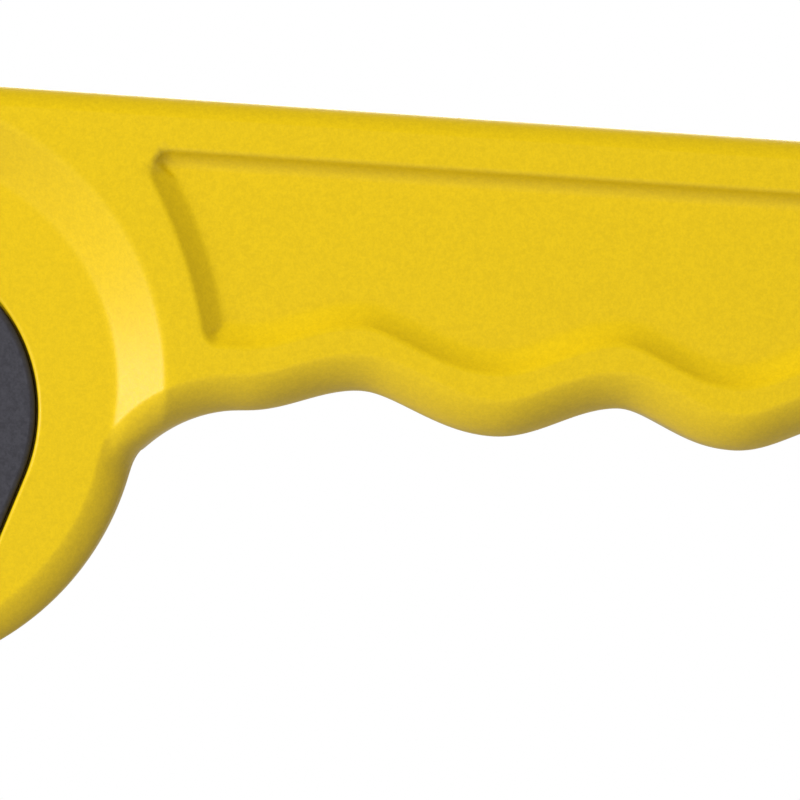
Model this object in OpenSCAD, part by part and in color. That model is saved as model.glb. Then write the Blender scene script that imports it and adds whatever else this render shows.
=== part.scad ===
// Rotary cutter: a moulded handle in two halves that carries a round blade,
// a sliding blade guard and a clamping knob on one axle bolt.
// Millimetres. The origin is the centre of the hanging hole, +X points to the
// butt of the handle, +Y to the blade side and +Z up.

/* [Handle] */
// Distance from the blade axis to the butt of the handle
handle_reach = 152; // [150:0.5:156]
// Full thickness of the handle
handle_t = 16; // [15:0.5:18]
// Height of the top edge above the blade axis
top_rise = 28.3; // [27.5:0.1:29]
// Downward slope of the handle towards the butt, in degrees
grip_slope = 3.9; // [3.5:0.1:4.5]
// Height of the grip at the finger grooves
grip_h = 24.6; // [24:0.1:25.5]
// How far the ridges between the fingers stand below the grooves
ridge_h = 3.1; // [2:0.1:4]
// Rounding of the handle's outer edges
edge_r = 2.2; // [1:0.1:2.5]
// Wall thickness of the two halves
wall = 2.3; // [1.8:0.1:2.6]

/* [Side panel] */
// Depth of the recessed panel in each side
panel_depth = 1.2; // [0.6:0.1:1.6]
// Width of the border between the top edge and the panel
panel_top = 5.5; // [4.5:0.1:6.5]
// Width of the border between the finger grooves and the panel
panel_bottom = 6.1; // [5.5:0.1:7]

/* [Head] */
// Radius of the head's lower lobe
head_r = 25; // [24.8:0.1:25.2]
// Radius the head is cut back to, where the blade cuts
cut_r = 17.5; // [17:0.1:18.5]
// Radius of the dish floor
dish_r = 20.8; // [20:0.1:21.5]
// Radius of the dish at the surface of the handle
dish_rim_r = 25.2; // [24.5:0.1:25.8]
// Depth of the dish
dish_depth = 3; // [2.4:0.1:3.2]
// Radius of the keyed axle plate
plate_r = 14.9; // [14.5:0.1:15.4]
// Depth of the pocket that the axle plate sits in
plate_pocket = 2.5; // [2:0.1:2.8]

/* [Blade and guard] */
// Diameter of the blade
blade_d = 45; // [44:0.1:45]
// Thickness of the blade
blade_t = 0.3; // [0.2:0.05:0.35]
// Diameter of the blade's centre hole
blade_bore_d = 8.04; // [8.02:0.01:8.1]
// Radius of the guard
guard_r = 23.3; // [23:0.1:23.6]
// Travel of the guard from closed to open
guard_travel = 6; // [4:0.1:6]

/* [Clamp] */
// Diameter of the axle bolt
bolt_d = 5; // [4.8:0.1:5]
// Diameter of the knob
knob_d = 26; // [24:0.5:28]
// Number of flutes round the knob
knob_flutes = 14; // [10:1:18]

/* [Hanging hole] */
// Diameter of the hole through the eyelet
hang_d = 7; // [6:0.1:7.4]

/* [Hidden] */
$fn = 64;

// Colours
yellow = [0.93, 0.78, 0.05];
anthracite = [0.27, 0.27, 0.29];
steel = [0.75, 0.76, 0.78];
brass = [0.80, 0.66, 0.36];

// Positions in the plane of the handle, [x, z] from the blade axis
hang_at = [140, 5];
dish_at = [2.4, 1.3];
plate_at = [1.1, -1.1];
screw_at = [[39, 12], [68, 10.5], [98, 8.5], [123, 6.5]];
rib_x = [52, 83, 111];

// Finger grooves and the ridges before, between and after them, from the blade axis
groove_x = [45, 68, 88, 107.5];
ridge_x = [34, 56.4, 77.6, 98, 120];
first_ridge_h = 2.5;
ridge_hs = [first_ridge_h, ridge_h + 0.2, ridge_h, ridge_h, ridge_h];
ridge_snap = 0.8;      // below 1, a ridge starts sharply after its groove
arch_r = 13;           // arch for the index finger, beside the head
arch_z = -14.1;

// Stations [distance, height of the grip] that the lower edge runs through
stations = [
    for (i = [0 : len(ridge_x) - 1])
        for (s = i < len(groove_x)
                ? [[ridge_x[i], grip_h + ridge_hs[i]], [groove_x[i], grip_h]]
                : [[ridge_x[i], grip_h + ridge_hs[i]]])
            s
];

// Directions, in degrees round the blade axis from +X towards +Z
nose_from = 100;       // the top edge starts to bend down
nose_to = 145;         // the head reaches the radius it is cut back to
lobe_from = 262;       // the head starts to widen into its lower lobe
lobe_to = 284;
travel_dir = 68;       // way the guard slides when it opens
arch_meets = 347;      // the lobe meets the arch for the index finger

// Layers across the thickness
face_y = handle_t / 2;
dish_y = -face_y + dish_depth;
pocket_y = dish_y + plate_pocket;
plate_face_y = dish_y + 0.1;
head_y = 2;            // face of the head on the blade side
hub_flange_t = 0.4;
blade_y = head_y + hub_flange_t + 0.05;
hub_end_y = blade_y + blade_t + 0.13;
washer_t = 0.4;
guide_y = hub_end_y + washer_t;
guide_t = 2;
guard_gap = 0.06;
broad_washer_t = 0.6;
spring_y = guide_y + guide_t + broad_washer_t;
spring_h = 0.9;
knob_seat_y = spring_y + spring_h + 0.05;
knob_y = spring_y + 0.15;
knob_h = 7.6;
knob_end_y = knob_y + knob_h;
clip_y = knob_end_y - 1.1;
bolt_end_y = knob_end_y - 0.1;
cavity_y = face_y - panel_depth - wall;

// Sizes that follow
bolt_r = bolt_d / 2;
free_r = bolt_r + 0.1;          // clearance hole for the bolt
flats = bolt_d - 1;             // width across the bolt's two flats
sleeve_r = bolt_r + 1.1;
hub_r = blade_bore_d / 2 - 0.05;
guide_w = 7;
guide_l = 8;
cavity_x = 32;
boss_r = 3.6;
butt_r = (grip_h + ridge_h) / 2 * cos(grip_slope);
butt_x = handle_reach - butt_r;

// ---- Curves of the outline ----

function ease(t) = (1 - cos(180 * t)) / 2;
function unit(v) = v / norm(v);
function polar(r, a) = [r * cos(a), r * sin(a)];
function top_z(x) = top_rise - x * tan(grip_slope);
function top_r(a) = top_rise / (sin(a) + tan(grip_slope) * cos(a));

// Radius of the head round the front: brow, cut-back and lower lobe
function head_at(a) =
    a < nose_to ? cut_r + (top_r(a) - cut_r) * (1 - ease((a - nose_from) / (nose_to - nose_from)))
    : a < lobe_from ? cut_r
    : a < lobe_to ? cut_r + (head_r - cut_r) * ease((a - lobe_from) / (lobe_to - lobe_from))
    : head_r;

// Height of the grip at distance x: ridges fall away quickly and rise slowly
function span(x, i = 0) = i >= len(stations) - 2 || x < stations[i + 1][0] ? i : span(x, i + 1);
function grip_at(x) =
    x >= stations[len(stations) - 1][0] ? stations[len(stations) - 1][1]
    : let (i = span(x), a = stations[i], b = stations[i + 1], t = (x - a[0]) / (b[0] - a[0]))
        a[1] + (b[1] - a[1]) * (b[1] > a[1] ? ease(pow(t, ridge_snap)) : ease(t));
function grip_z(x) = top_z(x) - grip_at(x);
function arch_at(x) = arch_z + sqrt(arch_r * arch_r - pow(x - ridge_x[0], 2));

// Outline of the handle, anticlockwise seen from the near side
arch_start = head_r * cos(arch_meets);
wave_end = ridge_x[4];
outline = concat(
    [for (a = [nose_from : 4 : lobe_to - 1]) polar(head_at(a), a)],
    [for (a = [lobe_to : 7 : arch_meets]) polar(head_r, a)],
    [for (i = [1 : 6]) let (x = arch_start + (ridge_x[0] - arch_start) * i / 7) [x, arch_at(x)]],
    [for (x = [ridge_x[0] : 1.72 : wave_end]) [x, grip_z(x)]],
    [for (i = [0 : 14])
        [butt_x, top_z(butt_x) - grip_at(wave_end) / 2]
        + polar(butt_r, -90 - grip_slope + 180 * i / 14)],
    [for (x = [120 : -20 : 0]) [x, top_z(x)]]
);

// Moves every point of a closed outline inwards by d
function inward(pts, d) = [
    for (i = [0 : len(pts) - 1])
        let (n = len(pts), t = unit(pts[(i + 1) % n] - pts[(i + n - 1) % n]))
            pts[i] + d * [-t[1], t[0]]
];

// ---- Building blocks, all in coordinates from the blade axis ----

// Moves a piece from the blade axis to the part's own origin
module placed() {
    translate([-hang_at[0], 0, -hang_at[1]]) children();
}

// Extrudes a flat shape, drawn in x and z, from y0 to y1
module layer(y0, y1) {
    translate([0, y1, 0]) rotate([90, 0, 0]) linear_extrude(y1 - y0) children();
}

// Round bar along y
module rod(r, y0, y1, at = [0, 0]) {
    translate([at[0], 0, at[1]]) layer(y0, y1) circle(r);
}

module ring(r_out, r_in, y0, y1, at = [0, 0]) {
    difference() {
        rod(r_out, y0, y1, at);
        rod(r_in, y0 - 1, y1 + 1, at);
    }
}

// Half of the handle as a solid slab with a rounded outer edge, from y = 0 to -t.
// Its skin runs on past both flat faces, which a box then cuts off.
module half_slab(t) {
    steps = 4;
    spare = 1;
    section = concat(
        [[0, -spare]],
        [for (k = [0 : steps]) let (a = 80 * k / steps)
            [edge_r * (1 - cos(a)), t - edge_r * (1 - sin(a))]],
        [[edge_r, t + spare]]
    );
    n = len(outline);
    rows = len(section);
    points = [for (s = section) for (p = inward(outline, s[0])) [p[0], -s[1], p[1]]];
    sides = [for (k = [0 : rows - 2]) for (i = [0 : n - 1])
        let (a = k * n + i, b = k * n + (i + 1) % n)
            for (f = [[a, a + n, b + n], [a, b + n, b]]) f];
    caps = [[for (i = [0 : n - 1]) i], [for (i = [n - 1 : -1 : 0]) (rows - 1) * n + i]];
    intersection() {
        polyhedron(points, concat(sides, caps));
        translate([-60, -t, -60]) cube([300, t, 150]);
    }
}

// Hollow inside of the handle, seen from the side
module cavity_shape() {
    polygon(concat(
        [[cavity_x, top_z(cavity_x) - wall]],
        [for (p = inward(outline, wall)) if (p[0] > cavity_x) p]
    ));
}

// Lower lobe of the head, outside the dish, where the face stays at the level of the dish floor
module lobe_shape() {
    first = -192;
    last = -12;
    polygon(concat(
        [for (a = [first : 15 : last]) dish_at + polar(dish_rim_r + 7, a)],
        [for (a = [last : -15 : first]) dish_at + polar(dish_r - 1.3, a)]
    ));
}

// Recessed side panel: straight top, slanting front, wavy lower edge
module panel_shape() {
    front_x = 27.6;
    front_foot_x = 32;
    end_x = 124;
    corner = 2.2;
    round_at = [front_x + corner, top_z(front_x) - panel_top - corner];
    end_r = (grip_at(end_x) - panel_top - panel_bottom) / 2;
    end_at = [end_x, top_z(end_x) - panel_top - end_r];
    polygon(concat(
        [for (a = [90 : 15 : 165]) round_at + polar(corner, a)],
        [for (x = [front_foot_x : 2 : end_x - 1]) [x, grip_z(x) + panel_bottom]],
        [for (a = [-90 : 15 : 90]) end_at + polar(end_r, a)]
    ));
}

// Teardrop outline of the axle plate, grown by g
module plate_shape(g = 0) {
    tip_r = 3.7;
    tip_at = [6.5, -17.3];
    way = tip_at - plate_at;
    side = acos((plate_r - tip_r) / norm(way));
    axis = atan2(way[1], way[0]);
    translate(plate_at) circle(plate_r + g);
    translate(tip_at) circle(tip_r + g);
    polygon([
        plate_at + polar(plate_r + g, axis + side), plate_at + polar(plate_r + g, axis - side),
        tip_at + polar(tip_r + g, axis - side), tip_at + polar(tip_r + g, axis + side)
    ]);
}

// Room for the guard in the far half: the disc it sweeps as it slides, open to the front
module seat_shape() {
    r = guard_r + 1;
    side_x = 9;
    shift = polar(guard_travel + 0.4, travel_dir);
    polygon(concat(
        [[-40, -40], [40, -40], polar(40, arch_meets)],
        [for (a = [arch_meets - 360 : 3 : travel_dir - 90]) polar(r, a)],
        [for (a = [travel_dir - 90 : 4 : acos((side_x - shift[0]) / r)]) shift + polar(r, a)],
        [[side_x, 60], [-40, 60]]
    ));
}

// ---- Handle ----

// Bosses and ribs inside one half, from the parting plane to the floor
module half_stiffening() {
    for (at = screw_at) rod(boss_r, -cavity_y - 0.5, 0, at);
    rod(7, -cavity_y - 0.5, 0, hang_at);
    intersection() {
        layer(-cavity_y - 0.5, -0.2) polygon(inward(outline, wall / 2));
        for (x = rib_x) translate([x, -10, -15]) cube([1.4, 20, 45]);
    }
}

module half_body() {
    difference() {
        half_slab(face_y);
        layer(-cavity_y, 1) cavity_shape();
        layer(-face_y - 1, -face_y + panel_depth) panel_shape();
    }
    half_stiffening();
}

module near_shell() {
    color(yellow) placed() difference() {
        half_body();
        translate([dish_at[0], 0, dish_at[1]]) rotate([90, 0, 0]) rotate_extrude()
            polygon([
                [0, -dish_y], [dish_r, -dish_y], [dish_rim_r, face_y],
                [dish_rim_r + 1.5, face_y + 1], [0, face_y + 1]
            ]);
        layer(-face_y - 1, dish_y) lobe_shape();
        layer(-face_y, pocket_y) plate_shape(0.25);
        rod(sleeve_r + 0.03, -face_y, 1);
        rod(hang_d / 2 + 0.72, -face_y - 1, 1, hang_at);
        rod(6.3, -face_y - 1, -face_y + 0.6, hang_at);
        for (at = screw_at) rod(2.12, -cavity_y, 1, at);
    }
}

module far_shell() {
    color(yellow) placed() difference() {
        mirror([0, 1, 0]) half_body();
        layer(head_y, face_y + 1) seat_shape();
        rod(sleeve_r + 0.03, -1, face_y);
        rod(hang_d / 2 + 0.72, -1, face_y + 1, hang_at);
        rod(6.3, face_y - 0.6, face_y + 1, hang_at);
        for (at = screw_at) {
            rod(1.6, -1, face_y, at);
            rod(3.1, cavity_y, face_y, at);
        }
    }
}

// Screw with a cross recess, head on the blade side
module shell_screw(at) {
    head_t = 1.8;
    difference() {
        union() {
            rod(1.48, -cavity_y + 0.5, cavity_y + 0.5, at);
            rod(2.8, cavity_y, cavity_y + head_t, at);
        }
        for (a = [45, 135])
            translate([at[0], cavity_y + head_t, at[1]]) rotate([0, a, 0])
                cube([3.2, 2, 0.7], center = true);
    }
}

module shell_screws() {
    color(steel) placed() for (at = screw_at) shell_screw(at);
}

module thread_inserts() {
    color(brass) placed() for (at = screw_at) ring(2.1, 1.5, -cavity_y + 0.1, -0.1, at);
}

module hang_eyelet() {
    bore_r = hang_d / 2;
    color(steel) placed() difference() {
        union() {
            rod(bore_r + 0.7, -face_y, face_y, hang_at);
            rod(6.2, -face_y, -face_y + 0.6, hang_at);
            rod(6.2, face_y - 0.6, face_y, hang_at);
        }
        rod(bore_r, -face_y - 1, face_y + 1, hang_at);
    }
}

// ---- Axle ----

module axle_plate() {
    color(anthracite) placed() difference() {
        layer(plate_face_y, pocket_y) plate_shape();
        rod(5.1, plate_face_y - 1, plate_face_y + 1.4);
        layer(plate_face_y, pocket_y + 1) square(6.1, center = true);
    }
}

// Coach bolt: round head, square neck, shank with two flats, groove for the clip
module axle_bolt() {
    neck_y = plate_face_y + 1.4;
    color(steel) placed() difference() {
        union() {
            rod(5, plate_face_y + 0.1, neck_y);
            layer(neck_y, pocket_y) square(6, center = true);
            rod(bolt_r, neck_y, bolt_end_y);
        }
        for (s = [-1, 1])
            rotate([0, 90 - travel_dir, 0]) translate([s * (flats / 2 + 2) - 2, head_y, -5])
                cube([4, spring_y - head_y, 10]);
        ring(bolt_r + 1, bolt_r - 0.5, clip_y, clip_y + 0.55);
    }
}

module axle_sleeve() {
    color(steel) placed() ring(sleeve_r, free_r, pocket_y, head_y);
}

// ---- Blade ----

module blade_hub() {
    color(brass) placed() difference() {
        union() {
            rod(7, head_y, head_y + hub_flange_t);
            rod(hub_r, head_y, hub_end_y);
        }
        rod(free_r, head_y - 1, hub_end_y + 1);
    }
}

// Disc ground from both sides to a keen edge
module blade() {
    r = blade_d / 2;
    bevel = 1.4;
    edge = 0.03;
    color(steel) placed() translate([0, blade_y, 0]) rotate([-90, 0, 0]) rotate_extrude($fn = 128)
        polygon([
            [blade_bore_d / 2, 0], [r - bevel, 0], [r, blade_t / 2 - edge / 2],
            [r, blade_t / 2 + edge / 2], [r - bevel, blade_t], [blade_bore_d / 2, blade_t]
        ]);
}

module hub_washer() {
    color(steel) placed() ring(8, free_r, hub_end_y, guide_y);
}

// ---- Guard ----

module slot_guide() {
    color(brass) placed() difference() {
        layer(guide_y, guide_y + guide_t) rotate(travel_dir) square([guide_l, guide_w], center = true);
        layer(guide_y - 1, guide_y + guide_t + 1) intersection() {
            circle(bolt_r + 0.05);
            rotate(travel_dir - 90) square([flats + 0.1, bolt_d + 2], center = true);
        }
    }
}

// Thumb arm at the top of the guard, seen from the side
tab_x = -10;
tab_w = 14;
tab_z = 25.5;
tab_h = 8;
rivet_at = [[tab_x + 3, tab_z + 3.2], [tab_x + tab_w - 3, tab_z + 3.2]];
guard_y = [guide_y + guard_gap, guide_y + guide_t - guard_gap];

module guard() {
    slot_w = guide_w + 0.1;
    slot_l = guide_l + guard_travel + 0.2;
    color(anthracite) placed() difference() {
        layer(guard_y[0], guard_y[1]) {
            circle(guard_r);
            translate([tab_x, 10]) square([tab_w, tab_z + tab_h - 11]);
        }
        layer(guard_y[0] - 1, guard_y[1] + 1) rotate(travel_dir)
            translate([-guide_l / 2 - guard_travel - 0.1, -slot_w / 2]) square([slot_l, slot_w]);
        for (at = rivet_at) rod(1.25, guard_y[0] - 1, guard_y[1] + 1, at);
    }
}

// Pad with grip ribs across its crown
module thumb_tab() {
    pad_t = 4;
    rib = 0.8;
    color(anthracite) placed() difference() {
        union() {
            translate([tab_x, guard_y[1], tab_z]) cube([tab_w, pad_t, tab_h]);
            for (i = [0 : 4])
                translate([tab_x + 0.5, guard_y[1] + pad_t - 0.5, tab_z + 0.6 + i * 1.5])
                    cube([tab_w - 1, rib + 0.5, rib]);
        }
        for (at = rivet_at) {
            rod(1.25, guard_y[1] - 1, guard_y[1] + pad_t + 2, at);
            rod(2.1, guard_y[1] + pad_t - 1, guard_y[1] + pad_t + 2, at);
        }
    }
}

module tab_rivets() {
    color(steel) placed() for (at = rivet_at) {
        rod(1.2, guard_y[0], guard_y[1] + 3.2, at);
        rod(2, guard_y[1] + 3, guard_y[1] + 3.9, at);
    }
}

module guard_washer() {
    color(steel) placed() ring(11, free_r, guide_y + guide_t, spring_y);
}

module spring_washer() {
    r_in = free_r + 0.1;
    r_out = 6.5;
    t = 0.45;
    color(steel) placed() translate([0, spring_y, 0]) rotate([-90, 0, 0]) rotate_extrude()
        polygon([[r_in, spring_h - t], [r_out, 0], [r_out, t], [r_in, spring_h]]);
}

// ---- Knob ----

module knob() {
    r = knob_d / 2;
    chamfer = 1.2;
    flute_r = 1.7;
    color(anthracite) placed() difference() {
        translate([0, knob_y, 0]) rotate([-90, 0, 0]) rotate_extrude()
            polygon([
                [0, 0], [r - 0.5, 0], [r, 0.5], [r, knob_h - chamfer],
                [r - chamfer, knob_h], [0, knob_h]
            ]);
        for (i = [0 : knob_flutes - 1])
            rod(flute_r, knob_y - 1, knob_end_y + 1, polar(r + 0.7, 360 * i / knob_flutes));
        rod(7.2, knob_y - 1, knob_seat_y);
        rod(4.5, knob_y, knob_end_y + 1);
        rod(6, knob_end_y - 1.5, knob_end_y + 1);
    }
}

module knob_insert() {
    color(brass) placed() difference() {
        union() {
            rod(4.5, knob_seat_y, knob_end_y - 1.5);
            rod(6.8, knob_seat_y - 0.02, knob_seat_y);
        }
        rod(bolt_r + 0.05, knob_y - 1, knob_end_y + 1);
    }
}

// Open clip that snaps into the groove at the bolt's end
module retaining_clip() {
    color(steel) placed() difference() {
        ring(4, bolt_r - 0.45, clip_y + 0.02, clip_y + 0.52);
        translate([-1.6, clip_y - 1, 0]) cube([3.2, 3, 6]);
    }
}

near_shell();
far_shell();
shell_screws();
thread_inserts();
hang_eyelet();
axle_plate();
axle_bolt();
axle_sleeve();
blade_hub();
blade();
hub_washer();
slot_guide();
guard();
thumb_tab();
tab_rivets();
guard_washer();
spring_washer();
knob();
knob_insert();
retaining_clip();
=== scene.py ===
"""Rotary cutter: the looks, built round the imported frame.

Shapes are worked out in millimetres from the blade axis, x along the handle and z up, and
turned into metres in the frame's own coordinates when a mesh is made.
"""
import math

import bpy
import numpy as np
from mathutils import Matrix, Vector
from mathutils.geometry import delaunay_2d_cdt
from mathutils.kdtree import KDTree


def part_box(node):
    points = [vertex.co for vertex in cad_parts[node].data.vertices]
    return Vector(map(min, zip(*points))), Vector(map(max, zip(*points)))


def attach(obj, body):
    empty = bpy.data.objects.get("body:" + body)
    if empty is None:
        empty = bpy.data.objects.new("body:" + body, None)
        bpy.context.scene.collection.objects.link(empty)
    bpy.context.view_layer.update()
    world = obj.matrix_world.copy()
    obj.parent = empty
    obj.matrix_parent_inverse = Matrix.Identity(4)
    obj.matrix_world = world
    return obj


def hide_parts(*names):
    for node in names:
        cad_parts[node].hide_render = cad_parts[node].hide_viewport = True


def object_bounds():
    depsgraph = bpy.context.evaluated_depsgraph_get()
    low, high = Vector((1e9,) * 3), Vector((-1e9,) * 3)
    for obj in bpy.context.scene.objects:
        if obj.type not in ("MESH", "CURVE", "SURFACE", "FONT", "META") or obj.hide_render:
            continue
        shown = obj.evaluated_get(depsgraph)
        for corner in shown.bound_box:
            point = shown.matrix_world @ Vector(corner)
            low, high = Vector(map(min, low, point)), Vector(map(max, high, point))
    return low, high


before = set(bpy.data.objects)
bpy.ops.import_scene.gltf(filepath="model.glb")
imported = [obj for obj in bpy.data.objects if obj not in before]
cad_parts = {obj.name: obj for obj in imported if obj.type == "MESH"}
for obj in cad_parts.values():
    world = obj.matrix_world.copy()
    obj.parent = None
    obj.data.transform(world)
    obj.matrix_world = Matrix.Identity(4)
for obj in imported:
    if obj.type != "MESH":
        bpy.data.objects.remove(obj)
cad_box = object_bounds()

MM = 0.001


def node_mm(node):
    """Lowest and highest corner of a CAD node, in millimetres in the frame."""
    low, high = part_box(node)
    return np.array(low) / MM, np.array(high) / MM


# ---------------------------------------------------------------- sizes from the frame
blade_low, blade_high = node_mm("blade")
AXIS = (blade_low + blade_high) / 2
AXIS_X, AXIS_Z = AXIS[0], AXIS[2]
BLADE_R = (blade_high[0] - blade_low[0]) / 2
HANG = np.array([-AXIS_X, -AXIS_Z])          # the frame's origin is the hanging hole
FACE = -node_mm("near_shell")[0][1]          # half the handle's thickness
BUTT = node_mm("near_shell")[1][0] - AXIS_X
HEAD_FACE = node_mm("blade_hub")[0][1]
POCKET = -node_mm("axle_sleeve")[0][1]
PLATE_FACE = -node_mm("axle_plate")[0][1]
GUARD_Y = (node_mm("guard")[0][1], node_mm("guard")[1][1])
GUARD_R = node_mm("guard")[1][0] - AXIS_X
KNOB_Y = (node_mm("knob")[0][1], node_mm("knob")[1][1])
KNOB_R = (node_mm("knob")[1][2] - node_mm("knob")[0][2]) / 2

# ---------------------------------------------------------------- driving sizes, as in the CAD
TOP_RISE = 28.3
SLOPE = math.radians(3.9)
GRIP = 24.6
RIDGE = 3.1
GROOVE_X = (45, 68, 88, 107.5)
RIDGE_X = (34, 56.4, 77.6, 98, 120)
RIDGE_H = (2.5, RIDGE + 0.2, RIDGE, RIDGE, RIDGE)
RIDGE_SNAP = 0.8
ARCH_R, ARCH_Z = 13, -14.1
ARCH_MEETS = 347
HEAD_R, CUT_R = 25, 17.5
NOSE = (100, 145)
LOBE = (262, 284)
DISH_AT = np.array([2.4, 1.3])
DISH_R, DISH_RIM_R, DISH_DEPTH = 20.8, 25.2, 3.0
PLATE_AT, PLATE_R = np.array([1.1, -1.1]), 14.9
TIP_AT, TIP_R = np.array([6.5, -17.3]), 3.7
PANEL_DEPTH, PANEL_END = 1.2, 124
TRAVEL, TRAVEL_DIR = 6.0, 68
EYELET_SEAT_R = 6.3
SCREW_SEAT_R, SCREW_SEAT = 3.1, 4.4

# ---------------------------------------------------------------- sizes that only the looks have
PANEL_WALL = 2.2
# where the sloping wall of the panel starts, a little outside the straight wall of the CAD
PANEL_TOP, PANEL_BOTTOM = 4.6, 5.55
PANEL_CORNER, PANEL_LOW_CORNER = 1.9, 1.3
# the panel's front edge: its upper end, its run for each millimetre down, and its bow
FRONT_X, FRONT_Z = 26.4, 19.1
FRONT_LEAN, FRONT_BOW, FRONT_SPAN = 0.442, 0.0134, 5.2

# width and drop of the rounded edges of the handle
TOP_EDGE, LOBE_EDGE, LOW_EDGE = (1.8, 1.7), (2.8, 2.1), (3.3, 3.7)
NEAR_HEAD_EDGE, FAR_HEAD_EDGE, SEAT_EDGE = 0.8, 0.35, 0.6
EDGE_BEND = 1.4          # 1 gives a quarter ellipse, more gives a flatter edge
EDGE_STEPS = 7
SEAM = 0.16              # chamfer of both halves where they meet
PARTING = 0.01           # each half stays this far from the plane between them
OUTLINE_STEP, OUTLINE_SOFT = 0.35, 0.7

# rows of mesh points that follow the walls of the dish and of the panel
DISH_ROWS = (19.9, 20.3, 20.6, 20.9, 21.3, 22.2, 23.2, 24.2, 24.8, 25.1, 25.4, 25.7, 26.1)
PANEL_INSETS = (-0.5, -0.3, -0.12, 0.06, 0.24, 0.45, 0.7, 0.95, 1.2, 1.45, 1.7, 1.95, 2.2, 2.6)
ROW_GAP = 0.16


# ---------------------------------------------------------------- curves
def ease(t):
    return (1 - np.cos(np.pi * np.clip(t, 0, 1))) / 2


def polar(radius, degrees):
    a = np.radians(degrees)
    return np.stack([radius * np.cos(a), radius * np.sin(a)], -1)


def top_z(x):
    return TOP_RISE - x * math.tan(SLOPE)


def grip_z(x):
    """Height of the lower edge of the grip: ridges start sharply and rise slowly."""
    x = np.asarray(x, float)
    stations = []
    for i, ridge in enumerate(RIDGE_X):
        stations.append((ridge, GRIP + RIDGE_H[i]))
        if i < len(GROOVE_X):
            stations.append((GROOVE_X[i], GRIP))
    depth = np.full(x.shape, stations[-1][1])
    depth = np.where(x < stations[0][0], stations[0][1], depth)
    for (xa, da), (xb, db) in zip(stations, stations[1:]):
        t = np.clip((x - xa) / (xb - xa), 0, 1)
        shape = ease(t ** RIDGE_SNAP) if db > da else ease(t)
        depth = np.where((x >= xa) & (x < xb), da + (db - da) * shape, depth)
    return top_z(x) - depth


def head_radius(a):
    """Radius of the head at angle a in degrees: brow, cut-back for the blade, lower lobe."""
    s, c = np.sin(np.radians(a)), np.cos(np.radians(a))
    top = TOP_RISE / (s + math.tan(SLOPE) * c)
    nose = CUT_R + (top - CUT_R) * (1 - ease((a - NOSE[0]) / (NOSE[1] - NOSE[0])))
    lobe = CUT_R + (HEAD_R - CUT_R) * ease((a - LOBE[0]) / (LOBE[1] - LOBE[0]))
    return np.where(a < NOSE[1], nose, lobe)


def resample(points, step, soften=0.0):
    """A closed outline with evenly spaced points, its corners softened by a blur in mm."""
    p = np.vstack([points, points[:1]])
    run = np.concatenate([[0], np.cumsum(np.linalg.norm(np.diff(p, axis=0), axis=1))])
    n = max(12, int(round(run[-1] / step)))
    t = np.linspace(0, run[-1], n, endpoint=False)
    q = np.stack([np.interp(t, run, p[:, k]) for k in (0, 1)], -1)
    if soften:
        reach = int(4 * soften / step) + 1
        k = np.arange(-reach, reach + 1)
        w = np.exp(-0.5 * (k * step / soften) ** 2)
        w /= w.sum()
        q = sum(w[j] * np.roll(q, -k[j], axis=0) for j in range(len(k)))
    return q


def left_normals(loop):
    """Unit normals to the left of an outline, which is inwards when it runs anticlockwise."""
    t = np.roll(loop, -1, axis=0) - np.roll(loop, 1, axis=0)
    t /= np.linalg.norm(t, axis=1)[:, None] + 1e-12
    return np.stack([-t[:, 1], t[:, 0]], -1)


def inside(points, loop):
    """Which points lie inside a closed outline."""
    hit = np.zeros(len(points), bool)
    x, z = points[:, 0], points[:, 1]
    for (xa, za), (xb, zb) in zip(loop, np.roll(loop, -1, axis=0)):
        if za == zb:
            continue
        across = (za > z) != (zb > z)
        hit ^= across & (x < (xb - xa) * (z - za) / (zb - za) + xa)
    return hit


def circle(radius, at=(0, 0), n=96):
    return polar(radius, np.linspace(0, 360, n, endpoint=False)) + np.array(at)


def grip_edge():
    """The finger arch, the waves of the grip and the butt, each as a run of points."""
    x0 = HEAD_R * math.cos(math.radians(ARCH_MEETS))
    arch_x = np.linspace(x0, RIDGE_X[0], 40)[1:]
    arch = np.stack([arch_x, ARCH_Z + np.sqrt(ARCH_R ** 2 - (arch_x - RIDGE_X[0]) ** 2)], -1)
    wave_x = np.arange(RIDGE_X[0], RIDGE_X[-1], 0.3)
    waves = np.stack([wave_x, grip_z(wave_x)], -1)
    butt_r = (GRIP + RIDGE) / 2 * math.cos(SLOPE)
    butt_x = BUTT - butt_r
    turn = np.linspace(-90, 90, 60) - math.degrees(SLOPE)
    butt = np.array([butt_x, top_z(butt_x) - (GRIP + RIDGE) / 2]) + polar(butt_r, turn)
    return arch, waves, butt


def head_curve():
    """The head's outline, from the brow down the cut-back and round the lower lobe."""
    a = np.arange(NOSE[0], ARCH_MEETS, 1.0)
    return polar(head_radius(a), a)


def handle_outline():
    return resample(np.vstack([head_curve(), *grip_edge()]), OUTLINE_STEP, OUTLINE_SOFT)


# ---------------------------------------------------------------- faces of the handle
def flat(level):
    return lambda x, z: np.full(np.shape(x), float(level))


def ramp(x, a, b, soft):
    """0 before a, 1 after b, straight between, with corners rounded over +-soft."""
    u, w = (x - a) / (b - a), soft / (b - a)

    def area(v):
        return np.where(v < 0, 0, np.where(v < 1, v * v / 2, v - 0.5))

    return (area(u + w) - area(u - w)) / (2 * w)


def panel_front(z):
    """Slanting front edge of the side panel at height z."""
    down = FRONT_Z - z
    return FRONT_X + FRONT_LEAN * down - FRONT_BOW * down * (down - FRONT_SPAN)


def front_slant(z):
    """Sideways run of the panel's front edge for each millimetre up."""
    return (panel_front(z + 0.1) - panel_front(z - 0.1)) / 0.2


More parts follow.
